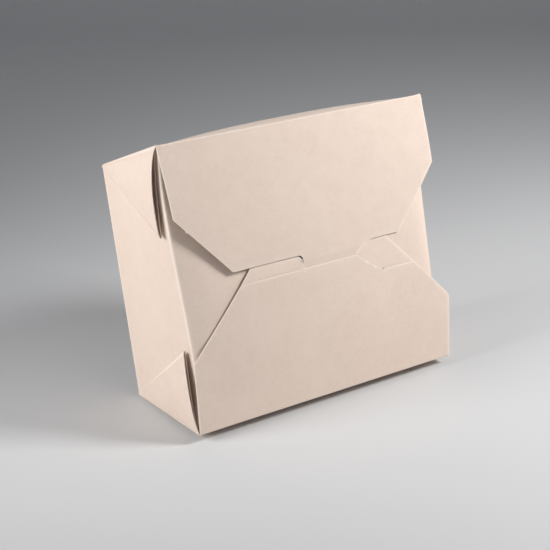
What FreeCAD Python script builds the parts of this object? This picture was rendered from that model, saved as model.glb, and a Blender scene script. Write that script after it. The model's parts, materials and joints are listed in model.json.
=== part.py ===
import FreeCAD, Part
import math
import os

# A one-piece folded paperboard takeout carton with web corners and a two-flap interlocking lid.
# It stands on its lower long wall with the lid facing forward, -Y. Sizes are in millimetres.
# Everything is drawn in the mouth frame first: X along the carton, Y across the mouth, Z out of it.
# The last step leans the carton back and sets it on the ground.

V = FreeCAD.Vector

# Carton, measured over the outside of the board
MOUTH_LENGTH = 162.0
MOUTH_HEIGHT = 144.0
BASE_LENGTH = 156.0
BASE_HEIGHT = 123.0
DEPTH = 64.0
BOARD = 0.45

# Stance: how far the mouth leans back, and how high the base's lower fold is off the ground
LEAN_DEG = 13.0
BASE_FOLD_LIFT = 0.6

# Long walls: the panel swells outward between its folds
REST_START = 12.0  # depth from the base fold where the lower wall reaches the ground
REST_END = 40.0
PATCH_INSET = 22.0  # from each end of a long wall to its flat middle
UPPER_SWELL = 3.2
UPPER_SWELL_START = 16.0
UPPER_SWELL_END = 46.0

# Web corners: each is a triangle folded back on itself outside the end wall
WEB_LENGTH = 43.0  # corner of the mouth to the tip of the web
WEB_GAP = 0.15  # air between two layers
WEB_BOW = 2.8  # the outer layer's raw edge bows outward
WEB_BOW_INNER = 1.2
WEB_TIP_LIFT = 1.0  # the outer layer stands off at its tip
EDGE_DROP = 0.9  # raw edges and folds stay this far below the mouth plane
FOLD_LAND = 0.8  # width of the folded ridge that joins two layers

# End walls and the minor flaps folded in from them
FOLD_SAG = 3.2  # the fold between the webs sinks into the mouth
FOLD_PULL = 2.6  # and is pulled in along X
MINOR_REACH = 55.0
MINOR_CORNER = 5.0  # the flap starts this far from the corner of the mouth
MINOR_TAPER = 15.0
MINOR_RISE = 1.2  # height of the free edge over the mouth plane

# Lid: both flaps lie on one shallow arch
ARCH_RISE = 5.0
CREASE_GAP = 0.3  # air between a flap and the wall's board
SIDE_GAP = 0.3
WING = 36.0  # straight side edge of a lid flap
UPPER_TIP_LEFT = 29.0  # where the upper flap's cut edge starts, from the left end
UPPER_TIP_RIGHT = 28.0  # and from the right end
UPPER_SHORT = 3.7  # the cut edge stops this far short of the lid's middle line

# Tongue of the upper flap, tucked behind the lower flap
TONGUE_LEFT = 70.9  # from the left end of the mouth
TONGUE_RIGHT = 105.7
TONGUE_FILLET = 3.0
TONGUE_ARC = 15.0  # radius of the scooped right shoulder
SHOULDER_DROP = 5.9  # height of that shoulder
TONGUE_BEND_SHORT = 1.5  # the bend is this far short of the middle line
TONGUE_PAST = 4.0  # and the tip is this far past it
TONGUE_DIP = 2.0  # the tip lies this far behind the top of the arch

# Lower flap: raised centre between two tabs tucked behind the upper flap
LOWER_SHORT = 2.9  # the centre's edge and the left tab's crease stop short of the middle line
CENTRE_LEFT = 69.9
CENTRE_RIGHT = 104.6
CUT_RUN = 16.2  # the slanting cut right of the centre, along the carton
RIGHT_TAB_SHORT = 13.7  # the right tab's crease, short of the middle line
TAB_PAST = 4.3  # both tab tips pass the middle line by this much
TAB_DIP = 1.8
LEFT_TAB_TIP = 38.0  # from the left end
RIGHT_TAB_TIP = 37.5  # from the right end
TAB_GAP = 0.4

HALF_LENGTH = MOUTH_LENGTH / 2
HALF_HEIGHT = MOUTH_HEIGHT / 2
HALF_BASE = BASE_LENGTH / 2
HALF_BASE_HEIGHT = BASE_HEIGHT / 2
LAYER = BOARD + WEB_GAP
LEAN = math.radians(LEAN_DEG)
GROUND = HALF_BASE_HEIGHT * math.cos(LEAN) + DEPTH * math.sin(LEAN) + BASE_FOLD_LIFT
FRONT = -HALF_HEIGHT * math.sin(LEAN)
BACK = DEPTH * math.cos(LEAN) + HALF_BASE_HEIGHT * math.sin(LEAN)
ARCH_RADIUS = (HALF_HEIGHT**2 + ARCH_RISE**2) / (2 * ARCH_RISE)


def triangle(a, b, c):
    return Part.Face(Part.makePolygon([a, b, c, a]))


def sheet(points, panels, thickness=BOARD):
    """A folded sheet: flat panels that share corners, thickened behind their drawn face.

    points maps a name to a corner. Each panel lists its corners anticlockwise as seen from
    the drawn face. Corners shared by panels move back along their mean normal.
    """
    triangles = []
    for panel in panels:
        for i in range(1, len(panel) - 1):
            triangles.append((panel[0], panel[i], panel[i + 1]))
    normals = {}
    for a, b, c in triangles:
        normal = (points[b] - points[a]).cross(points[c] - points[a]).normalize()
        for name in (a, b, c):
            known = normals.setdefault(name, [])
            if all(normal.dot(other) < 0.99999 for other in known):
                known.append(normal)
    back = {}
    for name, around in normals.items():
        mean = sum(around, V()).normalize()
        back[name] = points[name] - mean * (thickness / mean.dot(around[0]))
    edges = {}
    faces = []
    for a, b, c in triangles:
        faces.append(triangle(points[a], points[b], points[c]))
        faces.append(triangle(back[a], back[c], back[b]))
        for start, end in ((a, b), (b, c), (c, a)):
            if (end, start) in edges:
                del edges[(end, start)]
            else:
                edges[(start, end)] = True
    for start, end in edges:
        faces.append(triangle(points[start], back[start], points[end]))
        faces.append(triangle(points[end], back[start], back[end]))
    shell = Part.Shell(faces)
    return Part.Solid(shell)


def mirrored(shape, axis):
    return shape.mirror(V(0, 0, 0), axis)


def bar(start, end, across, through):
    """A straight folded ridge with a parallelogram section."""
    outline = [start, start + across, start + across + through, start + through, start]
    return Part.Face(Part.makePolygon(outline)).extrude(end - start)


def wall_height(depth_from_base):
    """Half the carton's height on the straight line from base fold to mouth."""
    return HALF_BASE_HEIGHT + (HALF_HEIGHT - HALF_BASE_HEIGHT) * depth_from_base / DEPTH


def wall_length(depth_from_base):
    return HALF_BASE + (HALF_LENGTH - HALF_BASE) * depth_from_base / DEPTH


def long_wall(start, end, swell_start, swell_end):
    """An upper (+Y) long wall whose middle patch stands out by the swells given."""
    near = wall_length(start) - PATCH_INSET
    far = wall_length(end) - PATCH_INSET
    points = {
        "base_left": V(-HALF_BASE, HALF_BASE_HEIGHT, -DEPTH),
        "base_right": V(HALF_BASE, HALF_BASE_HEIGHT, -DEPTH),
        "mouth_left": V(-HALF_LENGTH, HALF_HEIGHT, 0),
        "mouth_right": V(HALF_LENGTH, HALF_HEIGHT, 0),
        "patch_base_left": V(-near, wall_height(start) + swell_start, start - DEPTH),
        "patch_base_right": V(near, wall_height(start) + swell_start, start - DEPTH),
        "patch_mouth_left": V(-far, wall_height(end) + swell_end, end - DEPTH),
        "patch_mouth_right": V(far, wall_height(end) + swell_end, end - DEPTH),
    }
    panels = [
        ("patch_base_left", "patch_mouth_left", "patch_mouth_right", "patch_base_right"),
        ("base_left", "patch_base_left", "patch_base_right", "base_right"),
        ("patch_mouth_left", "mouth_left", "mouth_right", "patch_mouth_right"),
        ("base_left", "mouth_left", "patch_mouth_left", "patch_base_left"),
        ("base_right", "patch_base_right", "patch_mouth_right", "mouth_right"),
    ]
    return sheet(points, panels)


def upper_wall():
    return long_wall(UPPER_SWELL_START, UPPER_SWELL_END, UPPER_SWELL, UPPER_SWELL)


def lower_wall():
    """The lower long wall: its flat middle patch lies on the ground."""

    def swell(depth_from_base):
        out_of_mouth = depth_from_base - DEPTH
        ground_here = (GROUND + out_of_mouth * math.sin(LEAN)) / math.cos(LEAN)
        return ground_here - wall_height(depth_from_base)

    wall = long_wall(REST_START, REST_END, swell(REST_START), swell(REST_END))
    return mirrored(wall, V(0, 1, 0))


def base():
    """The flat base panel; its ends step in where the end walls fold up inside the webs."""
    end = HALF_BASE - 2 * LAYER
    step = HALF_BASE_HEIGHT - 3 * LAYER
    corners = []
    for x, y in (
        (HALF_BASE, HALF_BASE_HEIGHT),
        (-HALF_BASE, HALF_BASE_HEIGHT),
        (-end, step),
        (-end, -step),
        (-HALF_BASE, -HALF_BASE_HEIGHT),
        (HALF_BASE, -HALF_BASE_HEIGHT),
        (end, -step),
        (end, step),
    ):
        corners.append(V(x, y, -DEPTH))
    outline = Part.makePolygon(corners + [corners[0]])
    return Part.Face(outline).extrude(V(0, 0, BOARD))


def web_point(layer, place):
    """A corner of the upper left web: layer 0 is outside, 1 folded back, 2 the end wall."""
    inside = LAYER * layer
    nest = 0 if layer == 0 else LAYER
    if place == "base":
        return V(-HALF_BASE + inside, HALF_BASE_HEIGHT - nest, -DEPTH)
    if place == "mouth":
        return V(-HALF_LENGTH + inside, HALF_HEIGHT - nest, -EDGE_DROP)
    lift = 0 if layer == 2 else WEB_TIP_LIFT
    x = -HALF_LENGTH + FOLD_PULL + inside - lift
    return V(x, HALF_HEIGHT - WEB_LENGTH, -FOLD_SAG - lift)


def web_layer(layer, bow):
    points = {place: web_point(layer, place) for place in ("base", "mouth", "tip")}
    points["bow"] = (points["mouth"] + points["tip"]) * 0.5 - V(bow, 0, 0)
    return sheet(points, [("base", "bow", "mouth"), ("base", "tip", "bow")])


def web_corner():
    """Both layers of the upper left web with the ridges that join them to their neighbours."""
    start = web_point(0, "base")
    tip = web_point(0, "tip")
    across = (web_point(0, "mouth") - start).normalize() * FOLD_LAND
    diagonal = bar(start, tip, across, V(LAYER + BOARD, 0, 0))
    hem_start = web_point(1, "base")
    hem_end = web_point(1, "mouth")
    hem = bar(hem_start, hem_end, V(0, -FOLD_LAND, 0), V(LAYER + BOARD, 0, 0))
    return [web_layer(0, WEB_BOW), web_layer(1, WEB_BOW_INNER), diagonal, hem]


def end_wall():
    """The left end wall: three panels between the folds of its webs."""
    points = {}
    for place in ("base", "mouth", "tip"):
        point = web_point(2, place)
        points["upper_" + place] = point
        points["lower_" + place] = V(point.x, -point.y, point.z)
    panels = [
        ("upper_base", "upper_tip", "upper_mouth"),
        ("upper_base", "lower_base", "lower_tip", "upper_tip"),
        ("lower_base", "lower_mouth", "lower_tip"),
    ]
    return sheet(points, panels)


def minor_flap():
    """The left minor flap, folded in from the end wall's dished top fold."""
    fold = web_point(2, "tip")
    corner = web_point(2, "mouth")
    along = (fold - corner).normalize()
    root = corner + along * MINOR_CORNER
    free_x = -HALF_LENGTH + MINOR_REACH
    free_y = root.y - MINOR_TAPER
    points = {
        "upper_root": root,
        "upper_fold": fold,
        "lower_fold": V(fold.x, -fold.y, fold.z),
        "lower_root": V(root.x, -root.y, root.z),
        "upper_free": V(free_x, free_y, MINOR_RISE),
        "upper_mid": V(free_x, fold.y, MINOR_RISE),
        "lower_mid": V(free_x, -fold.y, MINOR_RISE),
        "lower_free": V(free_x, -free_y, MINOR_RISE),
    }
    panels = [
        ("upper_fold", "lower_fold", "lower_mid", "upper_mid"),
        ("upper_fold", "upper_mid", "upper_free", "upper_root"),
        ("lower_fold", "lower_root", "lower_free", "lower_mid"),
    ]
    return sheet(points, panels)


def carton_body():
    """Everything cut from the one blank but the two lid flaps."""
    left = web_corner()
    left += [mirrored(piece, V(0, 1, 0)) for piece in left]
    left += [end_wall(), minor_flap()]
    right = [mirrored(piece, V(1, 0, 0)) for piece in left]
    body = base().fuse([upper_wall(), lower_wall()] + left + right)
    return body


def arch_height(y):
    """Height over the mouth plane of the lid's outer face."""
    return ARCH_RISE - ARCH_RADIUS + math.sqrt(ARCH_RADIUS**2 - y**2)


def arch_point(y, radius):
    scale = radius / ARCH_RADIUS
    middle = ARCH_RISE - ARCH_RADIUS
    return V(-HALF_LENGTH, y * scale, middle + (arch_height(y) - middle) * scale)


def arched_sheet(low, high):
    """A strip of the arch from Y = low to high, as long as the mouth."""
    inner = ARCH_RADIUS - BOARD
    middle = (low + high) / 2
    outer_arc = Part.Arc(
        arch_point(low, ARCH_RADIUS), arch_point(middle, ARCH_RADIUS), arch_point(high, ARCH_RADIUS)
    )
    inner_arc = Part.Arc(arch_point(high, inner), arch_point(middle, inner), arch_point(low, inner))
    edges = [
        outer_arc.toShape(),
        Part.makeLine(arch_point(high, ARCH_RADIUS), arch_point(high, inner)),
        inner_arc.toShape(),
        Part.makeLine(arch_point(low, inner), arch_point(low, ARCH_RADIUS)),
    ]
    return Part.Face(Part.Wire(edges)).extrude(V(MOUTH_LENGTH, 0, 0))


def bent_sheet(bend, tip, tip_height):
    """The flat strip that leaves the arch at Y = bend and dips to its tip."""
    start = V(-HALF_LENGTH, bend, arch_height(bend))
    end = V(-HALF_LENGTH, tip, tip_height)
    along = (end - start).normalize()
    inward = V(0, along.z, -along.y) if along.y > 0 else V(0, -along.z, along.y)
    inward = inward * BOARD
    outline = [start, end, end + inward, start + inward, start]
    return Part.Face(Part.makePolygon(outline)).extrude(V(MOUTH_LENGTH, 0, 0))


def cut_out(stock, outline):
    """The part of the stock inside a closed outline drawn on the mouth plane."""
    blade = Part.Face(outline).extrude(V(0, 0, 4 * ARCH_RISE))
    blade.translate(V(0, 0, -2 * ARCH_RISE))
    return stock.common(blade)


def polygon(places):
    points = [V(x, y, 0) for x, y in places]
    return Part.makePolygon(points + [points[0]])


def upper_lid_flap():
    side = HALF_LENGTH - SIDE_GAP
    root = HALF_HEIGHT - BOARD - CREASE_GAP
    wing = HALF_HEIGHT - WING
    edge = UPPER_SHORT
    bend = TONGUE_BEND_SHORT
    tip = -TONGUE_PAST
    tongue_left = TONGUE_LEFT - HALF_LENGTH
    tongue_right = TONGUE_RIGHT - HALF_LENGTH
    shoulder, rise = tongue_shoulder()
    diagonal = math.sqrt(0.5)
    fillet_middle = V(
        tongue_left - TONGUE_FILLET * (1 - diagonal), edge - TONGUE_FILLET * (1 - diagonal), 0
    )
    places = [
        V(tongue_left, edge - TONGUE_FILLET, 0),
        V(tongue_left, tip, 0),
        V(tongue_right, tip, 0),
        V(tongue_right, rise, 0),
    ]
    edges = [Part.makeLine(places[i], places[i + 1]) for i in range(3)]
    scoop = Part.Arc(places[3], shoulder_middle(), V(shoulder, edge, 0))
    edges.append(scoop.toShape())
    rest = [
        V(shoulder, edge, 0),
        V(HALF_LENGTH - UPPER_TIP_RIGHT, edge, 0),
        V(side, wing, 0),
        V(side, root, 0),
        V(-side, root, 0),
        V(-side, wing, 0),
        V(UPPER_TIP_LEFT - HALF_LENGTH, edge, 0),
        V(tongue_left - TONGUE_FILLET, edge, 0),
    ]
    edges += [Part.makeLine(rest[i], rest[i + 1]) for i in range(len(rest) - 1)]
    edges.append(Part.Arc(rest[-1], fillet_middle, places[0]).toShape())
    outline = Part.Wire(edges)
    stock = arched_sheet(bend, HALF_HEIGHT).fuse(bent_sheet(bend, tip, ARCH_RISE - TONGUE_DIP))
    return cut_out(stock, outline)


def tongue_shoulder():
    """Where the scooped shoulder meets the cut edge (X) and the tongue's side (Y)."""
    drop = TONGUE_ARC - SHOULDER_DROP
    shoulder = TONGUE_RIGHT - HALF_LENGTH + math.sqrt(TONGUE_ARC**2 - drop**2)
    return shoulder, UPPER_SHORT - SHOULDER_DROP


def shoulder_middle(smaller=0.0):
    """A point halfway round the shoulder's arc, whose radius may be drawn smaller."""
    shoulder = tongue_shoulder()[0]
    half = math.acos((TONGUE_ARC - SHOULDER_DROP) / TONGUE_ARC) / 2
    radius = TONGUE_ARC - smaller
    x = shoulder - radius * math.sin(half)
    return V(x, UPPER_SHORT - TONGUE_ARC + radius * math.cos(half), 0)


def lower_lid_flap():
    side = HALF_LENGTH - SIDE_GAP
    root = -HALF_HEIGHT + BOARD + CREASE_GAP
    wing = -HALF_HEIGHT + WING
    centre = -LOWER_SHORT
    tab_crease = -RIGHT_TAB_SHORT
    tip = TAB_PAST
    tip_height = ARCH_RISE - TAB_DIP
    centre_left = CENTRE_LEFT - HALF_LENGTH
    centre_right = CENTRE_RIGHT - HALF_LENGTH
    left_tip = LEFT_TAB_TIP - HALF_LENGTH
    right_tip = HALF_LENGTH - RIGHT_TAB_TIP

    def diagonal(end_x, y):
        """X on the slanting side that runs from the wing's corner to a tab's tip."""
        share = (y - wing) / (tip - wing)
        start_x = math.copysign(side, end_x)
        return start_x + (end_x - start_x) * share

    main = polygon([
        (-side, root),
        (side, root),
        (side, wing),
        (diagonal(right_tip, tab_crease), tab_crease),
        (centre_right + CUT_RUN, tab_crease),
        (centre_right, centre),
        (centre_left, centre),
        (diagonal(left_tip, centre), centre),
        (-side, wing),
    ])
    lap = BOARD
    left_tab = polygon([
        (diagonal(left_tip, centre - lap), centre - lap),
        (centre_left - TAB_GAP, centre - lap),
        (centre_left - TAB_GAP, tip),
        (left_tip, tip),
    ])
    body = cut_out(arched_sheet(-HALF_HEIGHT, centre), main)
    left_stock = arched_sheet(-HALF_HEIGHT, centre).fuse(bent_sheet(centre, tip, tip_height))
    right_stock = arched_sheet(-HALF_HEIGHT, tab_crease)
    right_stock = right_stock.fuse(bent_sheet(tab_crease, tip, tip_height))
    shoulder = tongue_shoulder()[0]
    tuck = TONGUE_BEND_SHORT + BOARD
    right_tab = [
        V(centre_right + CUT_RUN + TAB_GAP, tab_crease - lap, 0),
        V(diagonal(right_tip, tab_crease - lap), tab_crease - lap, 0),
        V(right_tip, tip, 0),
        V(shoulder - 2, tip, 0),
        V(shoulder - 2, tuck, 0),
        shoulder_middle(TAB_GAP),
        V(centre_right + CUT_RUN * 0.25 + TAB_GAP, centre - 2, 0),
    ]
    right_wire = Part.makePolygon(right_tab + [right_tab[0]])
    return body.fuse([cut_out(left_stock, left_tab), cut_out(right_stock, right_wire)])


def placed(shape):
    """From the mouth frame to the carton standing on the ground, centred on the origin."""
    shape.rotate(V(0, 0, 0), V(1, 0, 0), 90 - LEAN_DEG)
    shape.translate(V(0, -(FRONT + BACK) / 2, GROUND))
    return shape


def export(name, shape):
    solids = placed(shape.removeSplitter()).Solids
    if len(solids) != 1:
        raise RuntimeError(name + " is not one solid")
    solid = solids[0]
    if not solid.isValid():
        raise RuntimeError(name + " is not valid")
    solid.exportStep("parts/" + name + ".step")
    print(name, "volume", round(solid.Volume), "box", solid.BoundBox)


os.makedirs("parts", exist_ok=True)
export("carton_body", carton_body())
export("upper_lid_flap", upper_lid_flap())
export("lower_lid_flap", lower_lid_flap())
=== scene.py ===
"""A folded paperboard takeout carton, closed, standing on its lower long wall.

Every sheet of board is drawn in the mouth frame, in millimetres: x along the carton, w across
the mouth from the lower crease to the upper one, n out of the mouth. place() leans that frame
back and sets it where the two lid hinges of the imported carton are.
"""

import json
import math

import bpy
import numpy as np
from mathutils import Matrix, Vector
from mathutils.geometry import delaunay_2d_cdt


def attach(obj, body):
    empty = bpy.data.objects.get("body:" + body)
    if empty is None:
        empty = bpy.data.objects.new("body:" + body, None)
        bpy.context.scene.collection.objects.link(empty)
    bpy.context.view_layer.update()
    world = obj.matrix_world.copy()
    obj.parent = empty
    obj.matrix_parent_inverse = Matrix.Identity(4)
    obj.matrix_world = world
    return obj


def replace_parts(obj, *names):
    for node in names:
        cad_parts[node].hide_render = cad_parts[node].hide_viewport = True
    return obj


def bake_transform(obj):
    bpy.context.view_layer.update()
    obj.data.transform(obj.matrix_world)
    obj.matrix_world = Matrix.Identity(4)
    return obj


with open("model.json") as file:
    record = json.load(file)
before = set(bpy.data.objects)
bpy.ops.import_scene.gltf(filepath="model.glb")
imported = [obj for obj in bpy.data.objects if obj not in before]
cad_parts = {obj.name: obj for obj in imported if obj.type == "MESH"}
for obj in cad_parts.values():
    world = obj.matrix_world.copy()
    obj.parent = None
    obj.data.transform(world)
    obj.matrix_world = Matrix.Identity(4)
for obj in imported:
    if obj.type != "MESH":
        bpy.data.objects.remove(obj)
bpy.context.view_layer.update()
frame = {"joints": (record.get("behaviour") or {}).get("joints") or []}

MM = 0.001
SHARP_ANGLE = math.radians(50)

# Carton. Sizes down to the lid's are in millimetres
MOUTH_LENGTH = 162.0
BASE_LENGTH = 156.0
BASE_HEIGHT = 123.0
DEPTH = 64.0
BOARD = 0.45
FOLD_RADIUS = 0.8
CREASE_LAP = 0.44  # walls and lid flaps stop this far short of the mouth's edge
UPPER_SWELL = 4.35
UPPER_SWELL_SKEW = 0.14
LOWER_SWELL = 4.6
BASE_SWELL = 0.8
SWELL_POWER = 0.85
SWELL_END_POWER = 2.8
MOUTH_FLARE = 1.8  # the upper wall is this much longer at its right corner of the mouth
LONG_COLUMNS = 61
LONG_WALL_ROWS = 22
BASE_ROWS = 30

# Web corners
CORNER_STEPS = 5  # points round the fold between a web and its long wall
LAYER = 0.6
HEM = 0.9  # over both layers of a web at its folded side
FOLD_HIGHLIGHT = 0.7  # how much paler the folds are painted: a painted highlight where a rounded fold catches the light
HEM_BEVEL = 0.45
HEM_BEVEL_START = 0.945  # as a share of the way from the corner to the tip
HEM_BULGE = 0.5
# painted highlight along a lower web's folded tip, which faces up into the light
HEM_HIGHLIGHT = 0.85
HEM_PROUD = 0.6  # a web's outer face over the end wall at the base corner
HEEL_RISE = 0.25  # a web's foot above the base's outer face
UPPER_WEB = 44.0  # from the carton's corner to the web's tip, along the mouth
LOWER_WEB = 41.8
UPPER_WEB_BOW = 2.85
RIGHT_BOW = 0.45  # share of that bow at the carton's right end
LOWER_WEB_BOW = 1.45
INNER_BOW = 0.8
BOW_SKEW = 0.7  # under 1, a bow is fullest near the carton's corner
UPPER_STAND_OFF = 3.75  # between the end wall's fold and the web's tip
LOWER_STAND_OFF = 3.3
UPPER_TIP_DROP = 3.6
LOWER_TIP_DROP = 3.3
INNER_DROP = 1.4
INNER_TIP = (HEM, 0.3, -0.2)  # the inner layer from the outer one, at the tip
INNER_START = (HEM, -0.6, -INNER_DROP)  # and at the corner
WEB_ROWS = 24
WEB_COLUMNS = 28
TIP_COLUMNS = 8  # closer together, from TIP_COLUMNS_START on
TIP_COLUMNS_START = 0.93

# End walls and minor flaps
END_FOLD_RADIUS = 0.55
END_FOLD_TURN = (12, 80)  # degrees
END_COLUMNS = 161
END_WALL_ROWS = 48
BASE_CLEAR = 0.5  # the end wall's foot stops this far short of the long walls
MINOR_ROWS = 30
MINOR_FIRST_ROW = 0.04  # as a share of the flap's length
MINOR_ROW_GROWTH = 1.4  # over 1, rows are closer together near the fold
FOLD_INSET = 0.9
CORNER_DROP = 0.3
LEFT_PULL_UPPER = -0.8  # the fold between end wall and minor flap is pulled in by this much
LEFT_PULL_LOWER = 2.6
RIGHT_PULL_UPPER = 4.0
RIGHT_PULL_LOWER = 4.7
FOLD_SAG_UPPER = 0.6
FOLD_SAG_LOWER = 0.3
PULL_FADE = 0.35  # pull and sag fade over this much of the half height at each corner
SAG_FADE = 0.25
END_SWELL = 0.7
MINOR_REACH = 55.0
MINOR_EDGE = 58.0  # from the mouth's end to the minor flap's free edge
MINOR_TAPER = 15.0
MINOR_CORNER = 5.0  # cut off each side of the flap within MINOR_CORNER_RUN of the fold
MINOR_CORNER_RUN = 4.0
LEFT_UNDER_UPPER = 2.9  # the minor flap below the lid's outer face
LEFT_UNDER_LOWER = 2.15
RIGHT_UNDER = 1.3
LEFT_EASE_UPPER = 12.0
LEFT_EASE_LOWER = 3.2
RIGHT_EASE_UPPER = 6.0
RIGHT_EASE_LOWER = 5.0

# Lid
ARCH_RISE = 5.0
WING = 36.0
LIFT_START = 35.0  # from the middle of the lid to where its wings start to spring
UPPER_LEFT_LIFT = 0.7
UPPER_RIGHT_LIFT = 0.8
LOWER_LEFT_LIFT = -0.9
LOWER_RIGHT_LIFT = 1.5
UPPER_WING_IN = 0.9  # the left wings stop short of the mouth's corner by this
LOWER_WING_IN = 1.0
UPPER_WING_OUT = 0.6  # the right wings pass it by this
LOWER_WING_OUT = 0.5
LOWER_WING_SHORT = 0.8
UPPER_TIP_LEFT = 29.0
UPPER_TIP_RIGHT = 28.0
UPPER_SHORT = 3.7
LEFT_SHORT = 4.4  # the same distance for the left wing's edge
TONGUE_LEFT = 71.6
TONGUE_RIGHT = 105.7
TONGUE_FILLET = 3.0
TIP_ROUND = 0.7
TIP_BACK = 0.6
TONGUE_LEAN_LEFT = 0.5
TONGUE_LEAN_RIGHT = 1.0
TONGUE_ARC = 15.0
SHOULDER_DROP = 5.9
BEND_SOFT = 0.5
NICK_SHARE = 0.225  # of the way along the upper flap's left cut
NICK_SIZE = 0.95
TONGUE_BEND_SHORT = 1.5
TONGUE_PAST = 4.0
TONGUE_DIP = 0.62
LOWER_SHORT = 2.9
CENTRE_LEFT = 71.1
CENTRE_RIGHT = 104.6
CUT_RUN = 16.2
RIGHT_TAB_SHORT = 13.7
TAB_PAST = 4.3
TAB_DIP = 0.95
TAB_FILLET = 2.7
TAB_CHAMFER = 0.5
SCOOP_GAP = 0.25  # between the tongue's scoop and the lower flap's cut along it
LEFT_TAB_TIP = 40.2
RIGHT_TAB_TIP = 37.5
SLIT = 0.05
SCORE_DEPTH = 0.17
SCORE_WIDTH = 0.45
# how much paler a score's lit side is painted: a painted highlight
SCORE_HIGHLIGHT = 0.5
SCORE_HIGHLIGHT_OFFSET = 0.7  # the painted highlight lies this many score widths below a score's middle, on the side that faces the light
EDGE_STRIP = 0.5  # width of the crushed, fibrous border along a cut
EDGE_CRUSH = 0.07
# width over which a cut is painted pale: crushed fibres with a painted highlight
PALE_STRIP = 1.4 * EDGE_STRIP
LATTICE_STEP = 2.4  # between the points that fill a flap
SCORE_ROWS = (-2, -1.3, -0.7, 0, 0.7, 1.3, 2)  # extra rows at a crease, in score widths

# View of the photograph
LENS = 96.0
SENSOR = 36.0
LOOK_AT = (-0.00479, -0.00226, 0.0582)
AZIMUTH = -34.86
ELEVATION = 21.28
ROLL = -0.56
DISTANCE = 0.776

# Studio sweep, in metres
SWEEP_HALF_WIDTH = 3.0
SWEEP_FRONT = 2.5
SWEEP_BEHIND = 0.9
SWEEP_RADIUS = 0.5
SWEEP_TOP = 2.6
AIM_HEIGHT = 0.07  # of the point that the lights face


def hinge(name):
    """A joint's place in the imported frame, in metres."""
    for joint in frame["joints"]:
        if joint["name"] == name:
            return np.array(joint["pos_m"], float)
    raise ValueError("no joint called " + name)


UPPER_CREASE = hinge("upper_flap_open")
LOWER_CREASE = hinge("lower_flap_open")
MOUTH_HEIGHT = np.linalg.norm(UPPER_CREASE - LOWER_CREASE) / MM
ACROSS = (UPPER_CREASE - LOWER_CREASE) / (MOUTH_HEIGHT * MM)
ALONG = np.array([1.0, 0.0, 0.0])
OUT = np.cross(ALONG, ACROSS)
CENTRE = (UPPER_CREASE + LOWER_CREASE) / 2

HALF_LENGTH = MOUTH_LENGTH / 2
HALF_HEIGHT = MOUTH_HEIGHT / 2
HALF_BASE = BASE_LENGTH / 2
HALF_BASE_HEIGHT = BASE_HEIGHT / 2
ARCH_RADIUS = (HALF_HEIGHT**2 + ARCH_RISE**2) / (2 * ARCH_RISE)


def place(points):
    """Mouth-frame millimetres (x, w, n in the last axis) to metres in the carton's own frame."""
    return CENTRE + MM * (points[..., :1] * ALONG + points[..., 1:2] * ACROSS + points[..., 2:] * OUT)


def smooth(t):
    """0 to 1 with level ends: 3 t squared minus 2 t cubed, for t held between 0 and 1."""
    t = np.clip(t, 0.0, 1.0)
    return t * t * (3 - 2 * t)


def ramp(t, low, high):
    """0 to 1 as t goes from low to high, with level ends."""
    return smooth((t - low) / (high - low))


def stacked(x, w, n):
    """Points from their three coordinates, each a number or an array."""
    return np.stack(np.broadcast_arrays(x, w, n), axis=-1).astype(float)


# Meshes

def make_object(name, vertices, faces, rim_count, body, border):
    """A mesh object whose last rim_count faces are the board's raw edge.

    border is 1 at the points of a cut and 0 away from cuts and folds, and fades the face's colour to the
    paler one of crushed fibres. That paler colour is partly raw fibres and partly a painted highlight
    where cut edges, folds, hems and scores catch the light.
    """
    mesh = bpy.data.meshes.new(name)
    mesh.from_pydata(vertices.tolist(), [], faces)
    # how far each point is painted paler: crushed fibres along cuts, and painted highlights along cuts,
    # folds, hems and scores
    crushed = mesh.attributes.new("pale_fibres_and_highlight", "FLOAT", "POINT")
    crushed.data.foreach_set("value", border.astype(np.float32))
    mesh.materials.append(BOARD_FACE)
    mesh.materials.append(BOARD_EDGE)
    slots = np.zeros(len(faces), dtype=np.int32)
    slots[len(faces) - rim_count:] = 1
    mesh.polygons.foreach_set("material_index", slots)
    mesh.shade_smooth()
    mesh.set_sharp_from_angle(angle=SHARP_ANGLE)
    mesh.update()
    made = bpy.data.objects.new(name, mesh)
    bpy.context.scene.collection.objects.link(made)
    if body:
        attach(made, body)
    return made


def grid_normals(points):
    """Unit normals of a grid: the cross product of its two central differences."""
    rows = np.gradient(points, axis=0)
    columns = np.gradient(points, axis=1)
    normals = np.cross(rows, columns)
    length = np.linalg.norm(normals, axis=-1, keepdims=True)
    return normals / np.maximum(length, 1e-12)


def board_grid(name, points, body, flip=False, border=None):
    """Board laid on a grid of points (rows, columns, xyz in the mouth frame).

    The grid is the outer face. The back face is the same grid moved back along its normals by the board's
    thickness, and a strip of raw edge closes the four sides. border is how far the face is painted paler:
    partly crushed fibres, and partly a painted highlight where folds, hems and raw edges catch the light.
    """
    if border is None:
        border = np.zeros(points.shape[:2])
    if flip:
        points = points[::-1]
        border = border[::-1]
    front = place(points)
    back = front - grid_normals(front) * BOARD * MM
    rows, columns = points.shape[:2]
    index = np.arange(rows * columns).reshape(rows, columns)
    a, b = index[:-1, :-1].ravel(), index[1:, :-1].ravel()
    c, d = index[1:, 1:].ravel(), index[:-1, 1:].ravel()
    offset = rows * columns
    outer = np.stack([a, b, c, d], axis=1)
    inner = np.stack([d, c, b, a], axis=1) + offset
    loop = np.concatenate([index[:-1, 0], index[-1, :-1], index[:0:-1, -1], index[0, :0:-1]])
    after = np.roll(loop, -1)
    rim = np.stack([after, loop, loop + offset, after + offset], axis=1)
    vertices = np.concatenate([front.reshape(-1, 3), back.reshape(-1, 3)])
    faces = np.concatenate([outer, inner, rim]).tolist()
    border = np.tile(border.ravel(), 2)
    return make_object(name, vertices, faces, len(rim), body, border)


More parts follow.
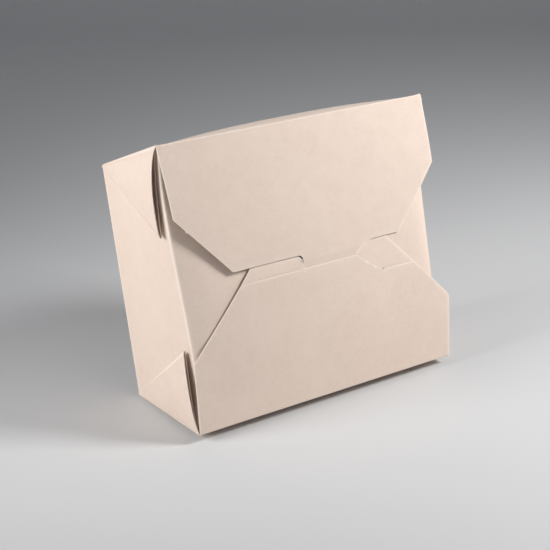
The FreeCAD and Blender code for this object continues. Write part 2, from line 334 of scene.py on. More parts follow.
def inside(outline, points):
    """True for points within a closed outline: an odd count of its sides lies to the right."""
    x, y = points[:, :1], points[:, 1:]
    x0, y0 = outline[:, 0], outline[:, 1]
    x1, y1 = np.roll(x0, -1), np.roll(y0, -1)
    spans = (y0 > y) != (y1 > y)
    rise = np.where(np.abs(y1 - y0) < 1e-9, 1e-9, y1 - y0)
    crossing = x0 + (y - y0) * (x1 - x0) / rise
    return ((spans & (x < crossing)).sum(axis=1) % 2) == 1


def clearance(outline, points):
    """Distance from each point to the nearest side of the outline."""
    start = outline[None, :, :]
    side = np.roll(outline, -1, axis=0)[None, :, :] - start
    to = points[:, None, :] - start
    share = np.clip((to * side).sum(-1) / (side**2).sum(-1), 0, 1)
    return np.linalg.norm(to - share[..., None] * side, axis=-1).min(axis=1)


def divided(outline, step):
    """The closed outline with points added along its length, every step or so."""
    closed = np.concatenate([outline, outline[:1]])
    length = np.concatenate([[0], np.cumsum(np.linalg.norm(np.diff(closed, axis=0), axis=1))])
    more = np.arange(0, length[-1], step)
    more = more[np.abs(more[:, None] - length[None, :]).min(axis=1) > 0.35 * step]
    at = np.sort(np.concatenate([length[:-1], more]))
    return np.stack([np.interp(at, length, closed[:, 0]), np.interp(at, length, closed[:, 1])], axis=1)


def inset_ring(outline, distance):
    """The outline's points moved inwards along the line that halves each corner."""
    side = np.roll(outline, -1, axis=0) - outline
    area = (outline[:, 0] * np.roll(outline[:, 1], -1) - outline[:, 1] * np.roll(outline[:, 0], -1)).sum()
    inward = np.stack([-side[:, 1], side[:, 0]], axis=1) * np.sign(area)
    inward /= np.linalg.norm(inward, axis=1, keepdims=True)
    before = np.roll(inward, 1, axis=0)
    share = 1 + (inward * before).sum(axis=1, keepdims=True)
    ring = outline + distance * (inward + before) / np.maximum(share, 0.5)
    ring = ring[inside(outline, ring)]
    return ring[clearance(outline, ring) > 0.6 * distance]


def board_cut(name, outline, height, creases, body, highlight_paint=None):
    """Board cut to an outline on the mouth plane and lifted to n = height(x, w).

    The outline is filled with a ring just inside it and a lattice of points, with closer rows along each
    crease, and joined up by Delaunay triangles. The cut itself is crushed back a little and painted pale
    there, as crushed fibres with a painted highlight where the cut edge catches the light. It is also pale
    where the given function paints a highlight. The back face is moved back along the face's normals.
    """
    step = LATTICE_STEP
    outline = divided(np.array(outline, float), step)
    low, high = outline.min(axis=0), outline.max(axis=0)
    xs = np.arange(low[0] + step / 2, high[0], step)
    rows = np.arange(low[1] + step / 2, high[1], step)
    for crease in creases:
        rows = rows[np.abs(rows - crease) > step * 0.7]
        rows = np.concatenate([rows, crease + SCORE_WIDTH * np.array(SCORE_ROWS)])
    lattice = np.stack(np.meshgrid(xs, np.sort(rows)), axis=-1).reshape(-1, 2)
    lattice = lattice[inside(outline, lattice)]
    lattice = lattice[clearance(outline, lattice) > 1.6 * EDGE_STRIP]
    ring = inset_ring(outline, EDGE_STRIP)
    sides = [(i, (i + 1) % len(outline)) for i in range(len(outline))]
    flat = [Vector(p) for p in np.concatenate([outline, ring, lattice])]
    points, _, triangles = delaunay_2d_cdt(flat, sides, [], 1, 1e-6)[:3]
    plan = np.array([tuple(p) for p in points])
    triangles = np.array(triangles)
    a, b, c = (plan[triangles[:, i]] for i in range(3))
    turn = (b[:, 0] - a[:, 0]) * (c[:, 1] - a[:, 1]) - (b[:, 1] - a[:, 1]) * (c[:, 0] - a[:, 0])
    triangles = triangles[np.abs(turn) > 1e-9]
    turn = turn[np.abs(turn) > 1e-9]
    triangles[turn < 0] = triangles[turn < 0][:, ::-1]
    away = clearance(outline, plan)
    border = (away < 0.01).astype(float)
    # pale paint along a cut: crushed fibres and a painted highlight where the cut edge catches the light
    pale = np.clip(1 - away / PALE_STRIP, 0, 1)
    x, w = plan[:, 0], plan[:, 1]
    root = np.abs(w) > HALF_HEIGHT - 1.5 * FOLD_RADIUS
    border[root] = pale[root] = 0
    # painted highlights from the given function, as along the scores
    if highlight_paint:
        pale = np.maximum(pale, highlight_paint(x, w))
    # Beside a tab the height jumps, so the slope along x is held
    tiny = 0.05
    slope_x = (height(x + tiny, w) - height(x - tiny, w)) / (2 * tiny)
    slope_w = (height(x, w + tiny) - height(x, w - tiny)) / (2 * tiny)
    normals = stacked(-np.clip(slope_x, -1.0, 1.0), -slope_w, 1.0)
    normals /= np.linalg.norm(normals, axis=1, keepdims=True)
    sheet = stacked(x, w, height(x, w))
    front = sheet - normals * EDGE_CRUSH * border[:, None]
    back = sheet - normals * BOARD
    directed = np.concatenate([triangles[:, [0, 1]], triangles[:, [1, 2]], triangles[:, [2, 0]]])
    offset = len(plan)
    there = directed[:, 0] * offset + directed[:, 1]
    and_back = directed[:, 1] * offset + directed[:, 0]
    first, second = directed[~np.isin(and_back, there)].T
    rim = np.stack([second, first, first + offset, second + offset], axis=1)
    faces = triangles.tolist() + (triangles[:, ::-1] + offset).tolist() + rim.tolist()
    vertices = place(np.concatenate([front, back]))
    return make_object(name, vertices, faces, len(rim), body, np.tile(pale, 2))


# Materials

MIX_A, MIX_B, MIX_RESULT = 6, 7, 2  # a Mix node's sockets for colour


def node(tree, kind, **values):
    """A shader node with the named inputs or settings filled in."""
    made = tree.nodes.new(kind)
    for key, value in values.items():
        if key in made.inputs:
            made.inputs[key].default_value = value
        else:
            setattr(made, key, value)
    return made


def remap(tree, low, high, to_low=0.0, to_high=1.0):
    """A map range node that takes low..high to to_low..to_high."""
    made = tree.nodes.new("ShaderNodeMapRange")
    for key, value in (("From Min", low), ("From Max", high), ("To Min", to_low), ("To Max", to_high)):
        made.inputs[key].default_value = value
    return made


def fibre_group():
    """Board fibres and mill mottling from Object coordinates: a tint, a shine and a height.

    The height is fibre, plus a share of grit and a share of blotch.
    """
    group = bpy.data.node_groups.new("board fibres", "ShaderNodeTree")
    face = group.interface
    face.new_socket("Vector", in_out="INPUT", socket_type="NodeSocketVector")
    face.new_socket("Pale", in_out="INPUT", socket_type="NodeSocketColor")
    face.new_socket("Warm", in_out="INPUT", socket_type="NodeSocketColor")
    face.new_socket("Roughness", in_out="INPUT", socket_type="NodeSocketFloat")
    face.new_socket("Color", in_out="OUTPUT", socket_type="NodeSocketColor")
    face.new_socket("Roughness", in_out="OUTPUT", socket_type="NodeSocketFloat")
    face.new_socket("Height", in_out="OUTPUT", socket_type="NodeSocketFloat")
    enter = group.nodes.new("NodeGroupInput")
    leave = group.nodes.new("NodeGroupOutput")
    link = group.links.new

    cloud = node(group, "ShaderNodeTexNoise", Scale=26.0, Detail=3.0, Roughness=0.6)
    blotch = node(group, "ShaderNodeTexNoise", Scale=150.0, Detail=4.0, Roughness=0.65)
    stretch = node(group, "ShaderNodeMapping", Scale=(420.0, 1500.0, 1500.0))
    fibre = node(group, "ShaderNodeTexNoise", Scale=1.0, Detail=5.0, Roughness=0.7)
    grit = node(group, "ShaderNodeTexNoise", Scale=2600.0, Detail=2.0, Roughness=0.5)
    link(enter.outputs["Vector"], cloud.inputs["Vector"])
    link(enter.outputs["Vector"], blotch.inputs["Vector"])
    link(enter.outputs["Vector"], stretch.inputs["Vector"])
    link(stretch.outputs["Vector"], fibre.inputs["Vector"])
    link(enter.outputs["Vector"], grit.inputs["Vector"])

    mottle = node(group, "ShaderNodeMath", operation="ADD")
    link(cloud.outputs["Fac"], mottle.inputs[0])
    link(blotch.outputs["Fac"], mottle.inputs[1])
    spread = remap(group, 0.75, 1.25)
    link(mottle.outputs["Value"], spread.inputs["Value"])
    tint = node(group, "ShaderNodeMix", data_type="RGBA")
    link(spread.outputs["Result"], tint.inputs["Factor"])
    link(enter.outputs["Pale"], tint.inputs[MIX_A])
    link(enter.outputs["Warm"], tint.inputs[MIX_B])

    speck = remap(group, 0.35, 0.65, 0.965, 1.02)
    link(fibre.outputs["Fac"], speck.inputs["Value"])
    colour = node(group, "ShaderNodeMix", data_type="RGBA", blend_type="MULTIPLY")
    colour.inputs["Factor"].default_value = 1.0
    link(tint.outputs[MIX_RESULT], colour.inputs[MIX_A])
    link(speck.outputs["Result"], colour.inputs[MIX_B])
    link(colour.outputs[MIX_RESULT], leave.inputs["Color"])

    shine = remap(group, 0.3, 0.7, -0.06, 0.06)
    link(blotch.outputs["Fac"], shine.inputs["Value"])
    rough = node(group, "ShaderNodeMath", operation="ADD")
    link(enter.outputs["Roughness"], rough.inputs[0])
    link(shine.outputs["Result"], rough.inputs[1])
    link(rough.outputs["Value"], leave.inputs["Roughness"])

    grit_share, blotch_share = 0.45, 0.8
    relief = node(group, "ShaderNodeMath", operation="MULTIPLY_ADD")
    relief.inputs[1].default_value = grit_share
    link(grit.outputs["Fac"], relief.inputs[0])
    link(fibre.outputs["Fac"], relief.inputs[2])
    height = node(group, "ShaderNodeMath", operation="MULTIPLY_ADD")
    height.inputs[1].default_value = blotch_share
    link(blotch.outputs["Fac"], height.inputs[0])
    link(relief.outputs["Value"], height.inputs[2])
    link(height.outputs["Value"], leave.inputs["Height"])
    return group


def board_material(name, fibres, pale, warm, raw, roughness, bump):
    """Uncoated board: the fibre group's tint and shine on a soft matt surface.

    The tint fades to a paler colour where the pale attribute is 1: raw fibres along a cut, and painted
    highlights along cuts, folds, hems and scores.
    """
    made = bpy.data.materials.new(name)
    made.use_nodes = True
    tree = made.node_tree
    surface = tree.nodes["Principled BSDF"]
    for key, value in (("Specular IOR Level", 0.35), ("Sheen Weight", 0.06), ("Sheen Roughness", 0.6)):
        surface.inputs[key].default_value = value
    where = tree.nodes.new("ShaderNodeTexCoord")
    pattern = tree.nodes.new("ShaderNodeGroup")
    pattern.node_tree = fibres
    pattern.inputs["Pale"].default_value = (*pale, 1.0)
    pattern.inputs["Warm"].default_value = (*warm, 1.0)
    pattern.inputs["Roughness"].default_value = roughness
    relief = node(tree, "ShaderNodeBump", Strength=bump, Distance=0.00012)
    # the attribute of pale raw fibres and painted highlights, which mixes in the paler colour
    border = node(tree, "ShaderNodeAttribute", attribute_name="pale_fibres_and_highlight")
    pale_fibres_and_highlight_mix = node(tree, "ShaderNodeMix", data_type="RGBA")
    pale_fibres_and_highlight_mix.inputs[MIX_B].default_value = (*raw, 1.0)
    link = tree.links.new
    link(where.outputs["Object"], pattern.inputs["Vector"])
    link(border.outputs["Fac"], pale_fibres_and_highlight_mix.inputs["Factor"])
    link(pattern.outputs["Color"], pale_fibres_and_highlight_mix.inputs[MIX_A])
    link(pale_fibres_and_highlight_mix.outputs[MIX_RESULT], surface.inputs["Base Color"])
    link(pattern.outputs["Roughness"], surface.inputs["Roughness"])
    link(pattern.outputs["Height"], relief.inputs["Height"])
    link(relief.outputs["Normal"], surface.inputs["Normal"])
    return made


FIBRES = fibre_group()
# colour of raw fibres, also used for the painted highlights along cuts, folds, hems and scores
PALE_FIBRE_AND_HIGHLIGHT_COLOUR = (0.89, 0.765, 0.66)
BOARD_FACE = board_material(
    "board face", FIBRES, pale=(0.80, 0.653, 0.55), warm=(0.76, 0.613, 0.515), raw=PALE_FIBRE_AND_HIGHLIGHT_COLOUR,
    roughness=0.66, bump=0.3,
)
BOARD_EDGE = board_material(
    "board raw edge", FIBRES, pale=(0.86, 0.75, 0.65), warm=(0.80, 0.68, 0.58), raw=PALE_FIBRE_AND_HIGHLIGHT_COLOUR,
    roughness=0.85, bump=0.8,
)


# Long walls and base: one sheet folded twice

def wall_half_length(n):
    """Half the length of a long wall at height n, from the base's to the mouth's."""
    return HALF_BASE + (HALF_LENGTH - HALF_BASE) * (n + DEPTH) / DEPTH


def round_corner(before, corner, after, radius, count):
    """Arc points that round a path's corner: tangent to both runs at the same distance."""
    before, corner, after = (np.array(p, float) for p in (before, corner, after))
    arrive = (corner - before) / np.linalg.norm(corner - before)
    depart = (after - corner) / np.linalg.norm(after - corner)
    turn = math.acos(float(np.clip(arrive @ depart, -1, 1)))
    reach = radius * math.tan(turn / 2)
    inward = depart - arrive * (arrive @ depart)
    inward /= np.linalg.norm(inward)
    angle = np.linspace(0, turn, count)[:, None]
    start = corner - arrive * reach
    return start + radius * (np.sin(angle) * arrive + (1 - np.cos(angle)) * inward)


def run(start, end, count):
    """Points from start towards end, without either end and closer together near both."""
    share = (1 - np.cos(np.linspace(0, math.pi, count + 2)))[1:-1, None] / 2
    return np.array(start) + (np.array(end) - np.array(start)) * share


def swell(share, along, skew=0.0):
    """How far a panel swells, 0 at its folds and 1 in its middle, flatter along its length.

    With s the share of the way between the folds and a the share of the half length, it is
    4 s (1 - s) to one power, times 1 less a to another. A skew moves the fullest part along by
    about that share of the half length.
    """
    along = np.abs(along - skew * (1 - along**2))
    return (4 * share * (1 - share)) ** SWELL_POWER * (1 - along**SWELL_END_POWER)


def long_walls_and_base():
    """The path goes down the upper wall, over the base and out along the lower wall.

    Each path point carries a row of points along x, and the upper wall's rows grow by the
    flare towards its right mouth corner. Walls and base swell out of the path's plane by the
    swell formula, and what would go under the ground is pressed flat on it.
    """
    upper_mouth = (HALF_HEIGHT, -CREASE_LAP)
    upper_fold = (HALF_BASE_HEIGHT, -DEPTH)
    lower_fold = (-HALF_BASE_HEIGHT, -DEPTH)
    lower_mouth = (-HALF_HEIGHT, -CREASE_LAP)
    first = round_corner(upper_mouth, upper_fold, lower_fold, FOLD_RADIUS, count=7)
    second = round_corner(upper_fold, lower_fold, lower_mouth, FOLD_RADIUS, count=7)
    path = np.concatenate([
        [upper_mouth], run(upper_mouth, first[0], LONG_WALL_ROWS), first,
        run(first[-1], second[0], BASE_ROWS), second,
        run(second[-1], lower_mouth, LONG_WALL_ROWS), [lower_mouth],
    ])
    along = np.sin(np.linspace(-math.pi / 2, math.pi / 2, LONG_COLUMNS))
    w, n = path[:, :1], path[:, 1:]
    half = wall_half_length(n) - FOLD_RADIUS
    x = along[None, :] * half
    x = x + MOUTH_FLARE * np.where(w > 0, (n + DEPTH) / DEPTH, 0.0) * (1 + along) / 2
    depth_share = np.clip((n + DEPTH) / (DEPTH - CREASE_LAP), 0, 1)
    base_share = np.clip((w + HALF_BASE_HEIGHT) / BASE_HEIGHT, 0, 1)
    on_base = n < -DEPTH + 0.01
    skew = np.where(w > 0, UPPER_SWELL_SKEW, 0.0)
    wall = np.where(on_base, 0.0, swell(depth_share, along[None, :], skew))
    upper = np.where(w > 0, UPPER_SWELL * wall, 0.0)
    lower = np.where(w < 0, LOWER_SWELL * wall, 0.0)
    base = np.where(on_base, BASE_SWELL * swell(base_share, along[None, :]), 0.0)
    points = stacked(x, w + upper - lower, n - base)
    low = place(points)[..., 2] / MM
    points[..., 1] += np.where(low < 0, -low, 0) / ACROSS[2]
    highlight_paint = np.zeros(points.shape[:2])
    # painted highlight along the base folds
    for fold in (upper_fold, lower_fold):
        reach = np.linalg.norm(path - np.array(fold), axis=1)
        highlight_paint[reach < 2 * FOLD_RADIUS] = FOLD_HIGHLIGHT
    return board_grid("long_walls_and_base", points, "carton", flip=True, border=highlight_paint)


# End walls, each folded up from the base and on into its minor flap

def arch(w):
    """Height of the lid's outer face over the mouth: a circle's arc through both creases."""
    return ARCH_RISE - ARCH_RADIUS + np.sqrt(ARCH_RADIUS**2 - np.clip(w, -HALF_HEIGHT, HALF_HEIGHT) ** 2)


def fold_line(t, left):
    """The fold over an end wall, for t from -1 (lower corner) to 1 (upper corner).

    It is pulled in along x and sinks by a sag. Both fade to nothing towards the corners, and
    run from their lower values to their upper ones. The left end's line is given, and the
    right end's is its mirror image with values of its own.
    """
    pull_lower = LEFT_PULL_LOWER if left else RIGHT_PULL_LOWER
    pull_upper = LEFT_PULL_UPPER if left else RIGHT_PULL_UPPER
    side = ramp(t, -0.6, 0.75)
    to_corner = 1 - np.abs(t)
    pull = (pull_lower + (pull_upper - pull_lower) * side) * ramp(to_corner, 0, PULL_FADE)
    sag = (FOLD_SAG_LOWER + (FOLD_SAG_UPPER - FOLD_SAG_LOWER) * side) * ramp(to_corner, 0, SAG_FADE)
    return -HALF_LENGTH + FOLD_INSET + pull, t * (HALF_HEIGHT - LAYER), -CORNER_DROP - sag


def end_wall(name, left):
    """Rows run up the end wall, over the fold and along the minor flap; columns run across.

    A quarter turn leaves the base, and rulings go from it to the mouth's fold. The wall swells
    a little between them, by 4 s (1 - s) with s the share of the way up. The flap leaves the
    fold in a quarter turn and rises towards the lid's underside, as 1 - exp(-distance / ease),
    faster on the lower side than on the upper one. Its free edge is straight.
    """
    t = np.sin(np.linspace(-math.pi / 2, math.pi / 2, END_COLUMNS))[None, :]
    angle = np.linspace(0, math.pi / 2, 6)[:, None]
    base_w = t * (HALF_BASE_HEIGHT - BASE_CLEAR)
    heel = stacked(
        -HALF_BASE + FOLD_RADIUS * (1 - np.sin(angle)),
        base_w,
        -DEPTH + FOLD_RADIUS * (1 - np.cos(angle)),
    )
    fold_x, fold_w, fold_n = fold_line(t, left)
    radius = END_FOLD_RADIUS
    foot, top = heel[-1], stacked(fold_x, fold_w, fold_n - radius)[0]
    share = np.linspace(0, 1, END_WALL_ROWS)[1:, None, None]
    wall = foot + (top - foot) * share
    way_up = share[..., 0]
    wall[..., 0] -= END_SWELL * 4 * way_up * (1 - way_up) * (1 - t**2)
    angle = np.radians(np.linspace(*END_FOLD_TURN, 6))[:, None]
    turn = stacked(
        fold_x + radius * (1 - np.cos(angle)),
        fold_w + 0 * angle,
        fold_n - radius * (1 - np.sin(angle)),
    )
    out = np.linspace(MINOR_FIRST_ROW, 1, MINOR_ROWS)[:, None]
    reach = radius + out**MINOR_ROW_GROWTH * MINOR_REACH
    narrow = MINOR_CORNER * ramp(reach, 0, MINOR_CORNER_RUN) + MINOR_TAPER * out
    flap_w = t * (HALF_HEIGHT - LAYER - narrow)
    lean = ramp(t, -0.7, 0.7)
    ease_lower = LEFT_EASE_LOWER if left else RIGHT_EASE_LOWER
    ease_upper = LEFT_EASE_UPPER if left else RIGHT_EASE_UPPER
    rise = 1 - np.exp(-reach / (ease_lower + (ease_upper - ease_lower) * lean))
    under_lid = RIGHT_UNDER
    if left:
        under_lid = LEFT_UNDER_LOWER + (LEFT_UNDER_UPPER - LEFT_UNDER_LOWER) * ramp(t, -0.15, 0.15)
    flap_x = fold_x + (MINOR_EDGE - HALF_LENGTH - fold_x) * reach / reach[-1]
    flap = stacked(flap_x, flap_w, fold_n + (arch(flap_w) - under_lid - fold_n) * rise)
    points = np.concatenate([heel, wall, turn, flap])
    highlight_paint = np.zeros(points.shape[:2])
    # painted highlight along the base fold and along the fold to the minor flap
    highlight_paint[:len(heel)] = FOLD_HIGHLIGHT
    highlight_paint[len(heel) + len(wall) - 1:-len(flap)] = FOLD_HIGHLIGHT
    if not left:
        points[..., 0] *= -1
    return board_grid(name, points, "carton", flip=left, border=highlight_paint)


# Web corners

def web_edge(upper, left):
    """Raw edge of an upper web as a path in the mouth, and where each ruling leaves the base.

    It rounds the carton's corner, runs along the bowed outer layer to the web's tip, turns
    back in a small half circle and returns along the inner layer to the corner. The bow is
    4 q (1 - q) with q the skewed share of the way. A lower web is the same path mirrored, with
    its own sizes. The last value returned is the folded tip's columns.
    """
    length = UPPER_WEB if upper else LOWER_WEB
    bow_size = (UPPER_WEB_BOW if upper else LOWER_WEB_BOW) * (1.0 if left else RIGHT_BOW)
    stand_off = UPPER_STAND_OFF if upper else LOWER_STAND_OFF
    drop = UPPER_TIP_DROP if upper else LOWER_TIP_DROP
    t = (HALF_HEIGHT - length) / HALF_HEIGHT
    fold_x, _, fold_n = (float(v) for v in fold_line(np.array(t if upper else -t), left))
    flare = MOUTH_FLARE if upper and not left else 0.0
    corner = np.array([-HALF_LENGTH - flare, HALF_HEIGHT, -CORNER_DROP])
    angle = np.linspace(0, math.pi / 2, CORNER_STEPS)[:, None]
    around = FOLD_RADIUS * np.concatenate([1 - np.sin(angle), -(1 - np.cos(angle)), 0 * angle], axis=1)
    start = corner + around[-1]
    outer_tip = np.array([fold_x - stand_off, HALF_HEIGHT - length, fold_n - drop])
    inner_tip = outer_tip + np.array(INNER_TIP)
    along_web = np.linspace(0, TIP_COLUMNS_START, WEB_COLUMNS)[1:]
    by_tip = np.linspace(TIP_COLUMNS_START, 1, TIP_COLUMNS)[1:]
    share = np.concatenate([along_web, by_tip])[:, None]
    skewed = share**BOW_SKEW
    bow = 4 * skewed * (1 - skewed) * [1, 0, 0]
    bevelled = np.clip((share - HEM_BEVEL_START) / (1 - HEM_BEVEL_START), 0, 1)
    bevel = HEM_BEVEL * bevelled**2 * [1, 0, 0]
    outer = start + (outer_tip - start) * share - bow_size * bow + bevel
    outer_tip = outer[-1]
    half = np.linspace(0, math.pi, 9)[1:-1, None]
    hem = (outer_tip + inner_tip) / 2 - (inner_tip - outer_tip) / 2 * np.cos(half)
    hem = hem - np.array([0, HEM_BULGE, 0]) * np.sin(half)
    inner_start = start + np.array(INNER_START)
    back = inner_tip + (inner_start - inner_tip) * share - INNER_BOW * bow[::-1]
    back[:, 2] -= INNER_DROP * np.sin(share[:, 0] * math.pi) ** 0.5
    edge = np.concatenate([corner + around, outer, hem, [inner_tip], back])
    layers = np.concatenate([
        bevel[:, 0], np.linspace(HEM_BEVEL, HEM, len(hem) + 2)[1:-1], np.full(1 + len(back), HEM),
    ])
    layers = np.stack([layers - HEM_PROUD, 0 * layers, 0 * layers], axis=1)
    heel = np.array([-HALF_BASE, HALF_BASE_HEIGHT, -DEPTH + HEEL_RISE])
    heel = heel + np.concatenate([around, around[-1] + layers])
    first = len(around) + len(outer)
    return edge, heel, slice(first - 1, first + len(hem) + 1)


def web_corner(name, upper, left):
    """A cone of straight rulings from the base corner to the web's raw edge.

    Fibres are pale along the raw edge, as crushed fibres with a painted highlight. The fold to the long
    wall, and on a lower web its folded tip too, are painted paler as a painted highlight where they catch
    the light.
    """
    edge, heel, hem = web_edge(upper, left)
    strip = EDGE_STRIP / DEPTH
    share = np.concatenate([np.linspace(0, 1, WEB_ROWS)[:-1], [1 - 1.6 * strip, 1 - 0.8 * strip, 1]])
    points = heel[None] + (edge - heel)[None] * share[:, None, None]
    highlight_paint = np.zeros(points.shape[:2])
    # painted highlight along the fold to the long wall
    highlight_paint[:, :CORNER_STEPS] = FOLD_HIGHLIGHT
    # the raw edge painted pale: crushed fibres with a painted highlight
    highlight_paint[-2:] = 1
    if not upper:
        points[..., 1] *= -1
        # painted highlight along the lower web's folded tip
        highlight_paint[1:, hem.start - 2:hem.stop] = HEM_HIGHLIGHT
    if not left:
        points[..., 0] *= -1
    return board_grid(name, points, "carton", flip=upper != left, border=highlight_paint)


# Lid

def wing_lift(x, w, left, right):
    """The free wings spring outward: grows towards the ends and away from the crease."""
    ends = ramp(np.abs(x), LIFT_START, HALF_LENGTH)
    free = ramp(HALF_HEIGHT - np.abs(w), 0, WING)
    return np.where(x < 0, left, right) * ends * free


def score(distance, where):
    """A pressed score line: a groove with the profile exp(-(distance / width) squared)."""
    return -SCORE_DEPTH * np.exp(-((distance / SCORE_WIDTH) ** 2)) * where


def dip(distance, reach, depth):
    """Bend at distance 0: level before it, then a straight slope that falls depth by reach."""
    start = np.clip(distance, 0, BEND_SOFT) ** 2 / (2 * BEND_SOFT)
    eased = np.where(distance > BEND_SOFT, distance - BEND_SOFT / 2, start)
    return depth / reach * eased


def arc_points(centre, radius, start, end, count):
    """Points on a circle's arc, angles in degrees."""
    angle = np.radians(np.linspace(start, end, count))[:, None]
    return np.array(centre) + radius * np.concatenate([np.cos(angle), np.sin(angle)], axis=1)


def tongue_shoulder():
    """X where the scooped shoulder meets the cut edge."""
    drop = TONGUE_ARC - SHOULDER_DROP
    return TONGUE_RIGHT - HALF_LENGTH + math.sqrt(TONGUE_ARC**2 - drop**2)


def upper_flap_height(x, w):
    """The arch, sprung at the wings, with the tongue bent down past its bend."""
    past_bend = TONGUE_BEND_SHORT - w
    tongue = dip(past_bend, TONGUE_BEND_SHORT + TONGUE_PAST, TONGUE_DIP)
    lift = wing_lift(x, w, UPPER_LEFT_LIFT, UPPER_RIGHT_LIFT)
    return arch(np.maximum(w, TONGUE_BEND_SHORT)) + lift - tongue


def nicked(start, end, share, size):
    """A side with one small die-cut nick: out and back by size at a share of its length."""
    start, end = np.array(start), np.array(end)
    run_way = (end - start) / np.linalg.norm(end - start)
    aside = np.array([-run_way[1], run_way[0]])
    spot = start + (end - start) * share
    return [spot - run_way * size, spot - aside * size * 0.8, spot + run_way * size * 0.5]


def upper_flap():
    """Outline from the right root corner round by the left wing, tongue and scoop."""
    root = HALF_HEIGHT - CREASE_LAP
    wing = HALF_HEIGHT - WING
    left_tip = UPPER_TIP_LEFT - HALF_LENGTH
    right_tip = HALF_LENGTH - UPPER_TIP_RIGHT
    tongue_left = TONGUE_LEFT - HALF_LENGTH
    tongue_right = TONGUE_RIGHT - HALF_LENGTH
    shoulder = tongue_shoulder()
    scoop_start = 180 - math.degrees(math.asin((TONGUE_ARC - SHOULDER_DROP) / TONGUE_ARC))
    fillet = arc_points((tongue_left - TONGUE_FILLET, LEFT_SHORT - TONGUE_FILLET), TONGUE_FILLET, 90, 0, 7)
    scoop = arc_points((shoulder, UPPER_SHORT - TONGUE_ARC), TONGUE_ARC, scoop_start, 90, 15)
    left_corner = (-HALF_LENGTH + UPPER_WING_IN, wing)
    left_side = nicked(left_corner, (left_tip, LEFT_SHORT), NICK_SHARE, NICK_SIZE)
    outline = np.concatenate([
        [(HALF_LENGTH + MOUTH_FLARE, root), (-HALF_LENGTH, root), left_corner],
        left_side,
        arc_points((left_tip + TIP_BACK, LEFT_SHORT + TIP_ROUND), TIP_ROUND, 220, 270, 4),
        fillet,
        [(tongue_left - TONGUE_LEAN_LEFT, -TONGUE_PAST), (tongue_right - TONGUE_LEAN_RIGHT, -TONGUE_PAST)],
        scoop,
        arc_points((right_tip - TIP_BACK, UPPER_SHORT + TIP_ROUND), TIP_ROUND, 270, 320, 4),
        [(HALF_LENGTH + UPPER_WING_OUT, wing)],
    ])
    return board_cut("upper_lid_flap_board", outline, upper_flap_height, [TONGUE_BEND_SHORT], "upper_flap")


def cut_line_x(w):
    """X of the slanting cut between the lower flap's centre and its right tab, at height w."""
    share = (-LOWER_SHORT - w) / (RIGHT_TAB_SHORT - LOWER_SHORT)
    return CENTRE_RIGHT - HALF_LENGTH + CUT_RUN * share


def tab_sides(x, w):
    """Whether each point is in the lower flap's left tab, and in its right one."""
    return x < CENTRE_LEFT - HALF_LENGTH, x > cut_line_x(w)


def lower_flap_height(x, w):
    """The arch, sprung at the wings, with a scored bend along each tab."""
    left, right = tab_sides(x, w)
    left_dip = dip(w + LOWER_SHORT, LOWER_SHORT + TAB_PAST, TAB_DIP)
    right_dip = dip(w + RIGHT_TAB_SHORT, RIGHT_TAB_SHORT + TAB_PAST, TAB_DIP)
    tabs = np.where(left, left_dip, np.where(right, right_dip, 0.0))
    lines = score(w + LOWER_SHORT, left) + score(w + RIGHT_TAB_SHORT, right)
    return arch(w) + wing_lift(x, w, LOWER_LEFT_LIFT, LOWER_RIGHT_LIFT) - tabs + lines


def lower_flap_score_highlight(x, w):
    """A painted highlight along the lower side of the two tabs' pressed score lines, the side that faces
    the light.
    """
    left, right = tab_sides(x, w)
    left_line = np.exp(-(((w + LOWER_SHORT) / SCORE_WIDTH + SCORE_HIGHLIGHT_OFFSET) ** 2)) * left
    right_line = np.exp(-(((w + RIGHT_TAB_SHORT) / SCORE_WIDTH + SCORE_HIGHLIGHT_OFFSET) ** 2)) * right
    return SCORE_HIGHLIGHT * np.maximum(left_line, right_line)


